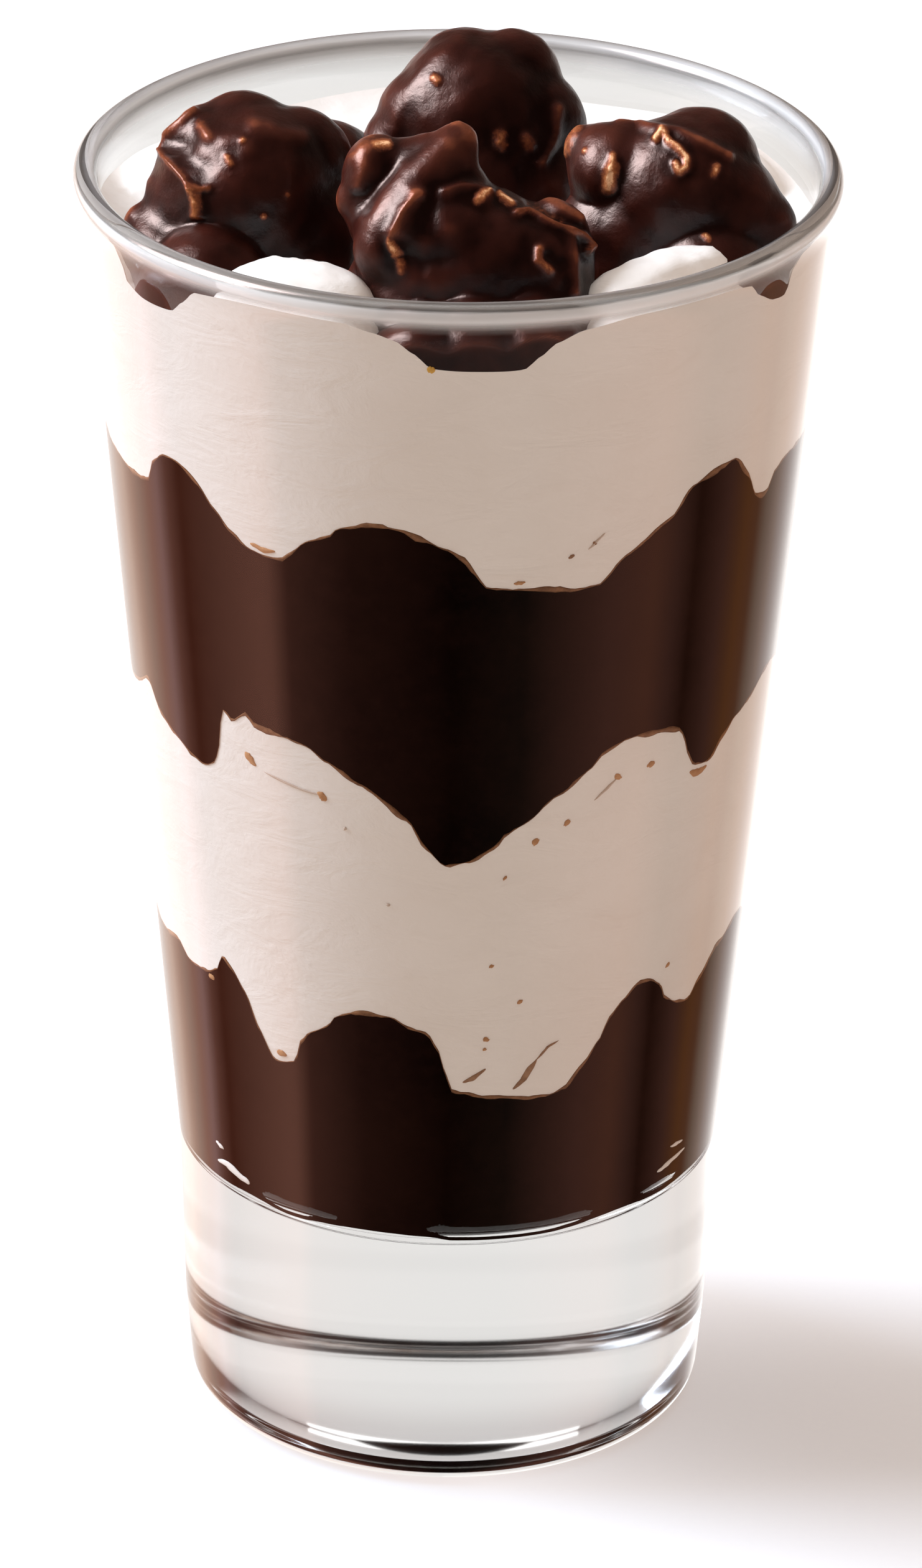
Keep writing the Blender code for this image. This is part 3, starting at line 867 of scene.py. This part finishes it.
clusterSettings = {
    "voxel": 0.5,
    "smoothing": 34,
    "swell": 0.6,  # makes up for what smoothing takes off
    "waves": 0.12,
    "intoWall": 0.12,
    "backLumps": 8,
    "backReach": 0.62,  # of the front's reach
    "backLean": (0.85, 1.45),
    "backOut": (0.62, 0.8),
    "backSize": (0.3, 0.42),
    "crestSmoothing": 8,
    "crestFull": 0.018,  # how sharp a crest has to be for the thinnest coat and the brightest painted highlight
    "seed": 5,
}
clusters = {
    "cluster_front": {
        "centre": (1.0, -26.0, 156.5),
        "lumps": (
            (-3.0, -0.6, -1.0, 8.8), (2.0, -2.6, -1.2, 8.5), (6.6, -3.2, -1.0, 7.2),
            (0.0, -7.0, -1.6, 7.2), (0.0, 0.8, -3.5, 6.2), (-9.9, 7.8, 0.2, 3.7),
            (-12.6, 4.7, -0.2, 1.9), (-8.4, 3.2, -0.8, 4.7), (-1.2, 11.0, 2.4, 2.1),
            (-1.8, 9.2, 2.8, 2.4), (-3.4, 7.4, 3.0, 2.8), (-5.2, 5.8, 3.1, 3.0),
            (-7.0, 4.0, 3.1, 3.1), (-8.4, 1.8, 3.0, 3.2), (-9.2, -0.8, 2.8, 3.2),
            (-0.8, 5.8, 1.6, 3.0), (-6.8, 8.3, 0.6, 3.0), (-4.5, 9.2, 1.2, 2.7),
            (9.4, 0.4, -0.5, 4.2), (11.8, -0.6, 0.0, 2.2), (-6.2, -6.6, -0.8, 5.8),
            (8.0, -7.5, 0.0, 6.0), (-10.4, -4.4, -2.0, 2.8), (1.1, -12.4, 4.6, 6.0),
            (-4.6, -12.9, 4.8, 5.6), (7.4, -11.9, 4.6, 5.6),
        ),
        "backTop": -1.5,  # keeps the lumps behind it out of sight
        "ridges": (  # ((right, up), ...), width, height, how bare
            (((-2.6, 10.2), (-4.8, 7.8), (-7.0, 5.4), (-8.9, 2.8), (-9.6, 0.2), (-9.2, -2.6)),
             1.8, 0.5, 0.0),
            (((-8.6, 7.6), (-9.8, 5.6), (-10.9, 3.6)), 1.1, -0.5, 0.0),
            (((-7.4, 0.6), (-6.5, 2.6), (-5.4, 4.4)), 1.3, 1.5, 0.0),
            (((-3.6, 4.4), (-3.9, 1.2)), 1.6, -0.4, 0.0),
            (((-2.6, 5.0), (-1.0, 5.6), (0.8, 5.4), (1.9, 4.6)), 1.0, 0.8, 0.06),
            (((-2.9, 2.6), (-2.2, 1.2)), 1.1, 0.3, 0.0),
            (((-6.6, -2.0), (-4.8, -2.6), (-3.0, -2.2)), 2.2, -1.2, 0.0),
            (((0.9, 4.2), (1.5, 4.9)), 0.55, 0.5, 0.95),
            (((3.2, 4.7), (4.7, 3.8)), 0.45, 0.5, 0.9),
            (((5.3, 2.8), (6.4, 3.0), (7.6, 2.5), (9.0, 1.8), (10.9, 1.3), (12.4, 0.8), (13.3, -0.2),
              (12.8, -0.8)), 0.4, 0.7, 0.3),
            (((4.2, 6.0), (5.6, 5.9), (7.6, 5.1), (9.8, 3.9), (12.0, 2.6)), 0.6, 0.5, 0.18),
            (((6.7, 4.3), (8.6, 3.2), (10.2, 2.3)), 0.6, -0.3, 0.22),
            (((7.9, -1.0), (7.8, -2.2), (9.0, -3.2)), 0.45, 0.5, 0.55),
            (((9.2, -1.6), (10.0, -2.4)), 0.8, -0.5, 0.0),
            (((11.2, 0.8), (11.5, -2.4), (11.6, -5.8)), 0.6, 0.5, 0.1),
            (((-8.1, -0.4), (-7.7, -1.5)), 0.5, 0.6, 0.95),
            (((-7.4, -2.4), (-7.1, -3.4)), 0.45, 0.4, 0.6),
            (((-10.1, 10.1), (-8.9, 10.3)), 0.5, 0.35, 0.9),
            (((-12.2, 9.0), (-10.6, 11.0), (-8.8, 11.6)), 0.7, 0.3, 0.28),
            (((-11.0, 9.4), (-11.7, 6.2)), 0.9, 0.45, 0.0),
            (((-0.9, 13.0), (-0.2, 11.8)), 0.9, 0.2, 0.22),
            (((-12.6, -4.6), (-11.6, -5.8)), 0.4, 0.2, 0.5),
        ),
    },
    "cluster_left": {
        "centre": (-25.2, -9.5, 156.0),
        "lumps": (
            (1.6, 0.0, 0.0, 9.6), (0.8, 5.0, -1.0, 6.0), (6.8, 3.2, -1.0, 6.0), (-2.0, -1.4, 0.2, 7.7),
            (-4.8, -4.0, 0.2, 5.6), (-9.4, -4.6, 0.5, 2.8), (3.0, -3.6, 1.2, 7.2), (5.0, -3.0, 0.0, 7.2),
            (-3.2, 4.2, 0.8, 4.2), (8.8, -4.5, 0.0, 5.8), (8.0, -8.5, 0.0, 6.0), (-8.0, -7.6, 1.6, 4.4),
            (-1.0, -8.5, 0.6, 6.0),
            (-2.7, -11.3, 5.7, 6.8),
        ),
        "ridges": (
            # The thin light line along this ridge and its lower end are bare nut colour that also stands
            # in for the ridge's highlight: partly a painted highlight
            (((-4.1, 7.6), (-5.5, 6.5), (-7.0, 5.4), (-7.6, 4.0), (-7.2, 2.8), (-6.0, 1.6), (-4.9, 0.5),
              (-4.2, -0.5)), 0.32, 0.55, 0.38),
            (((-4.1, 7.8), (-7.0, 5.4), (-7.2, 2.8), (-4.9, 0.5), (-3.8, -3.2)), 1.5, 0.7, 0.0),
            (((-4.0, -0.6), (-3.7, -1.8), (-3.8, -3.2)), 0.6, 0.6, 0.75),
            (((-3.8, -0.6), (-2.6, -0.3)), 0.4, 0.4, 0.45),
            (((-5.4, 4.2), (-4.8, 2.8), (-3.4, 2.0)), 1.2, -0.35, 0.0),
            (((-3.4, 6.2), (-2.6, 5.0)), 0.6, 0.4, 0.42),
            (((-2.6, 5.4), (-1.0, 4.6), (0.6, 4.8), (1.6, 4.2)), 1.2, 0.25, 0.1),
            (((-9.4, 0.6), (-10.8, -1.6), (-12.0, -3.6)), 0.8, 0.5, 0.12),
            (((2.2, 6.4), (4.6, 5.6), (7.0, 5.4)), 1.1, 0.5, 0.0),
            (((-0.7, 2.9), (-0.2, 2.2)), 0.4, 0.3, 0.7),
            (((1.0, 4.6),), 0.32, 0.3, 1.0),
            (((3.3, -3.3),), 0.3, 0.2, 1.0),
            (((5.7, -1.0),), 0.3, 0.2, 0.6),
            (((-5.0, 7.5), (-2.9, 9.8), (-0.6, 11.0)), 0.5, 0.2, 0.3),
            (((-12.2, -3.4), (-11.2, -1.2)), 0.5, 0.2, 0.4),
        ),
    },
    "cluster_right": {
        "centre": (24.6, -11.6, 156.0),
        "lumps": (
            (0.2, 1.2, 0.8, 8.2), (2.6, 4.2, -1.0, 6.4), (-7.0, 3.6, 1.5, 5.0), (4.4, -1.2, 0.2, 7.2),
            (8.0, -3.0, 0.0, 5.2), (-3.6, -3.4, -0.6, 7.2), (10.6, -2.2, 0.0, 2.6), (-10.0, 6.0, 0.4, 2.4),
            (2.0, -4.4, 0.4, 7.0), (-8.0, -4.0, -1.0, 5.6), (-6.0, -8.0, -1.0, 6.0), (9.0, -7.0, 1.0, 3.6),
            (3.0, -8.0, 1.0, 5.5), (3.9, -9.4, 3.2, 6.8),
        ),
        "ridges": (
            (((-6.5, 8.6), (-4.7, 8.3), (-3.0, 7.6), (-0.1, 7.1), (2.6, 5.9), (5.2, 4.7)), 0.6, 0.5, 0.1),
            (((-5.3, 8.7), (-4.0, 8.9)), 0.5, 0.2, 1.0),
            (((-2.3, 6.2), (-1.6, 7.0), (-1.0, 5.9), (-0.1, 5.3), (0.8, 4.2), (0.8, 3.2), (0.1, 2.7),
              (-0.3, 3.6)), 0.38, 0.6, 1.0),
            (((-7.3, 4.6), (-7.4, 3.2)), 0.4, 0.4, 0.9),
            (((-7.4, 3.2), (-7.5, 1.6)), 0.75, 0.7, 1.0),
            (((-10.9, 7.9), (-11.7, 6.3), (-11.9, 5.3)), 0.5, 0.3, 0.6),
            (((-10.1, 5.2),), 0.3, 0.2, 0.9),
            (((4.0, 3.4), (3.7, 2.6)), 0.4, 0.3, 0.8),
            (((3.1, -4.4), (3.5, -4.9)), 0.35, 0.2, 0.9),
        ),
    },
    "cluster_back": {
        "centre": (1.6, 9.5, 157.8),
        "lumps": (
            (0.0, 0.0, 0.0, 9.2), (-1.2, 4.8, -0.4, 5.3), (4.2, 4.6, -0.4, 5.4), (-5.8, 0.2, 1.0, 4.8),
            (-8.0, -3.4, 0.0, 4.4), (6.6, -0.8, 0.0, 6.0), (3.0, -3.4, 0.6, 7.6), (8.0, -4.0, 0.0, 4.6),
            (0.0, -7.5, 2.0, 7.2), (6.5, -8.0, 1.0, 6.2), (-6.5, -7.0, 0.0, 6.0),
        ),
        "ridges": (
            (((-4.1, 3.6), (-3.9, 3.3)), 0.45, 0.3, 0.9),
            (((2.9, -2.5), (3.0, -3.6)), 0.8, 0.5, 0.55),
            (((2.8, -3.2),), 0.4, 0.2, 0.9),
            (((5.7, -2.9), (6.1, -3.6)), 0.7, 0.4, 0.35),
            (((9.3, 0.6), (9.0, -2.0), (8.3, -4.0), (7.6, -5.6)), 0.7, 0.5, 0.16),
            (((-1.8, 8.0), (-4.4, 5.6), (-6.6, 3.0), (-8.0, 0.4), (-8.6, -1.6)), 1.3, 0.4, 0.0),
        ),
    },
    "cluster_rear_left": {
        "centre": (-16.2, 19.5, 146.0),
        "lumps": ((0.0, 0.0, 0.0, 6.8), (-3.0, 1.6, -1.0, 4.4), (2.6, 1.8, -1.0, 4.2)),
        "ridges": (),
    },
    "cluster_rear_right": {
        "centre": (18.6, 18.8, 146.0),
        "lumps": ((0.0, 0.0, 0.0, 6.8), (3.0, 1.6, -1.0, 4.4), (-2.6, 1.8, -1.0, 4.2)),
        "ridges": (),
    },
}


def settled(item):  # the mesh with its modifiers applied
    depsgraph = bpy.context.evaluated_depsgraph_get()
    mesh = bpy.data.meshes.new_from_object(item.evaluated_get(depsgraph))
    bpy.data.objects.remove(item)
    return mesh


def nearest(right, up, path):  # distance to a broken line, as it looks from the front
    least = np.full(right.shape, 1000.0)
    for (r0, u0), (r1, u1) in zip(path, path[1:] if len(path) > 1 else path):
        length = (r1 - r0) ** 2 + (u1 - u0) ** 2
        share = ((right - r0) * (r1 - r0) + (up - u0) * (u1 - u0)) / length if length else 0.0
        share = np.clip(share, 0.0, 1.0)
        least = np.minimum(least, np.hypot(right - r0 - share * (r1 - r0), up - u0 - share * (u1 - u0)))
    return least


def allLumps(settings, seed):  # the lumps that show, and some at the back
    draw = random.Random(seed)
    s = clusterSettings
    lumps = list(settings["lumps"])
    reach = s["backReach"] * max(math.hypot(right, up) + radius for right, up, _, radius in lumps)
    for _ in range(s["backLumps"]):
        turn, lean = draw.uniform(0.0, 2 * math.pi), draw.uniform(*s["backLean"])
        out = reach * draw.uniform(*s["backOut"])
        right, up = out * math.cos(turn) * math.cos(lean), out * math.sin(turn) * math.cos(lean)
        up = min(up, settings.get("backTop", up))
        lumps.append((right, up, -out * math.sin(lean), reach * draw.uniform(*s["backSize"])))
    return lumps


def joinedLumps(name, lumps, centre):
    bm = bmesh.new()
    for right, up, near, radius in lumps:
        place = Matrix.Translation(centre + (viewRight * right + viewUp * up + viewNear * near) * mm)
        bmesh.ops.create_icosphere(bm, subdivisions=4, radius=radius * mm, matrix=place)
    mesh = bpy.data.meshes.new(name)
    bm.to_mesh(mesh)
    bm.free()
    rough = bpy.data.objects.new(name, mesh)
    scene.collection.objects.link(rough)
    remesh = rough.modifiers.new("joined", "REMESH")
    remesh.mode = "VOXEL"
    remesh.voxel_size = clusterSettings["voxel"] * mm
    smooth = rough.modifiers.new("coat", "SMOOTH")
    smooth.factor = 0.5
    smooth.iterations = clusterSettings["smoothing"]
    finer = rough.modifiers.new("finer", "SUBSURF")
    finer.levels = finer.render_levels = 1
    return settled(rough)


def makeCluster(name, settings, seed):
    s = clusterSettings
    centre = Vector(settings["centre"]) * mm
    mesh = joinedLumps(name, allLumps(settings, seed), centre)
    count = len(mesh.vertices)
    places = np.empty(count * 3, dtype=np.float32)
    mesh.vertices.foreach_get("co", places)
    places = places.reshape(-1, 3).astype(float)
    normals = np.array([vert.normal for vert in mesh.vertices])
    pairs = np.empty(len(mesh.edges) * 2, dtype=np.int32)
    mesh.edges.foreach_get("vertices", pairs)
    one, two = pairs[0::2], pairs[1::2]
    degree = np.maximum(np.bincount(pairs, minlength=count), 1)

    def around(values):  # the mean over each point's neighbours
        total = np.bincount(one, values[two], count) + np.bincount(two, values[one], count)
        return total / degree

    # Ridges, grooves and bare nuts
    offset = (places - np.array(centre)) / mm
    right, up = offset @ np.array(viewRight), offset @ np.array(viewUp)
    front = np.clip(normals @ np.array(viewNear) * 4.0, 0.0, 1.0)
    bare = np.zeros(count)
    push = np.full(count, s["swell"])
    for path, width, height, shown in settings["ridges"]:
        close = np.exp(-((nearest(right, up, path) / width) ** 2)) * front
        push += close * height
        bare = np.maximum(bare, close * shown)
    push += [s["waves"] * noise.fractal(Vector(place) * 0.3, 0.8, 2.0, 2) for place in offset]
    places += normals * push[:, None] * mm
    # Pressed flat where it meets the glass
    out = np.hypot(places[:, 0], places[:, 1])
    wall = np.array([innerRadius(height / mm) for height in places[:, 2]]) + s["intoWall"]
    places[:, :2] *= np.minimum(1.0, wall * mm / out)[:, None]
    # The coat is thin on the crests and thick in the hollows; the coat colour turns this into a painted
    # highlight on the crests and painted shade in the hollows
    mean = np.stack([around(places[:, axis]) for axis in range(3)], axis=1)
    crest = np.einsum("ij,ij->i", places - mean, normals) / mm
    for _ in range(s["crestSmoothing"]):
        crest = around(crest)
    crest = np.clip(crest / s["crestFull"], -1.0, 1.0)
    mesh.vertices.foreach_set("co", places.astype(np.float32).ravel())
    for title, values in (("bare", bare), ("crest", crest)):
        mesh.attributes.new(title, "FLOAT", "POINT").data.foreach_set("value", values.astype(np.float32))
    mesh.update()
    return addPiece(name + "_coat", mesh, "nuts", "coated_nuts", name)


for place, (name, settings) in enumerate(clusters.items()):
    makeCluster(name, settings, clusterSettings["seed"] + place)
print("clusters made")
